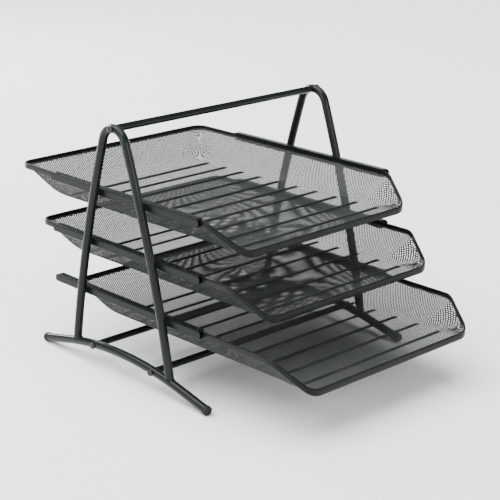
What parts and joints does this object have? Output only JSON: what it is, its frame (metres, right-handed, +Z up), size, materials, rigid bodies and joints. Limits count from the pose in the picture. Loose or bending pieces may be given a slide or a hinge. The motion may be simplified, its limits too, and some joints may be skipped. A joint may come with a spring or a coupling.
{
  "type": "letter tray",
  "caption": "Desk stand with A-shaped tube ends and a top handle bar, whose shallow mesh paper trays slide forward in side rails.",
  "frame": {"origin": "centre of the bounding box's underside, on the surface that the stand rests on", "axes": "+X to the right of someone facing the open side, -Y out of the open side of the trays, +Z up"},
  "size_m": [0.3048, 0.4556, 0.2792],
  "materials": {
    "tube_coat": "semi-gloss black-grey powder coat on steel tube",
    "rail_coat": "semi-gloss black-grey powder coat on folded sheet",
    "tray_rim": "semi-gloss black powder coat on folded strip",
    "tray_mesh": "powder-coated expanded steel mesh",
    "foot_plastic": "matt black moulded plastic",
    "screw_steel": "dark glossy plating"
  },
  "bodies": {
    "stand": {"left_leg_tube": "tube_coat", "right_leg_tube": "tube_coat", "left_foot_tube": "tube_coat", "right_foot_tube": "tube_coat", "left_rear_foot_cap": "foot_plastic", "left_front_foot_cap": "foot_plastic", "right_rear_foot_cap": "foot_plastic", "right_front_foot_cap": "foot_plastic", "left_bottom_rail": "rail_coat", "left_middle_rail": "rail_coat", "left_top_rail": "rail_coat", "right_bottom_rail": "rail_coat", "right_middle_rail": "rail_coat", "right_top_rail": "rail_coat", "handle_bar": "tube_coat", "rear_cross_bar": "tube_coat", "front_cross_bar": "tube_coat", "left_handle_screw": "screw_steel", "right_handle_screw": "screw_steel", "left_rear_cross_screw": "screw_steel", "right_rear_cross_screw": "screw_steel", "left_front_cross_screw": "screw_steel", "right_front_cross_screw": "screw_steel", "left_handle_insert": "screw_steel", "right_handle_insert": "screw_steel", "left_rear_cross_insert": "screw_steel", "right_rear_cross_insert": "screw_steel", "left_front_cross_insert": "screw_steel", "right_front_cross_insert": "screw_steel"},
    "bottom_tray": {"bottom_tray_rim": "tray_rim", "bottom_tray_basket": "tray_mesh"},
    "middle_tray": {"middle_tray_rim": "tray_rim", "middle_tray_basket": "tray_mesh"},
    "top_tray": {"top_tray_rim": "tray_rim", "top_tray_basket": "tray_mesh"}
  },
  "joints": [
    {"name": "top_tray_slide", "type": "slide", "parent": "stand", "child": "top_tray", "axis": [0, -1, 0], "range_m": [0, 0.2]},
    {"name": "middle_tray_slide", "type": "slide", "parent": "stand", "child": "middle_tray", "axis": [0, -1, 0], "range_m": [-0.0346, 0.1654]},
    {"name": "bottom_tray_slide", "type": "slide", "parent": "stand", "child": "bottom_tray", "axis": [0, -1, 0], "range_m": [-0.0935, 0.1065]}
  ]
}
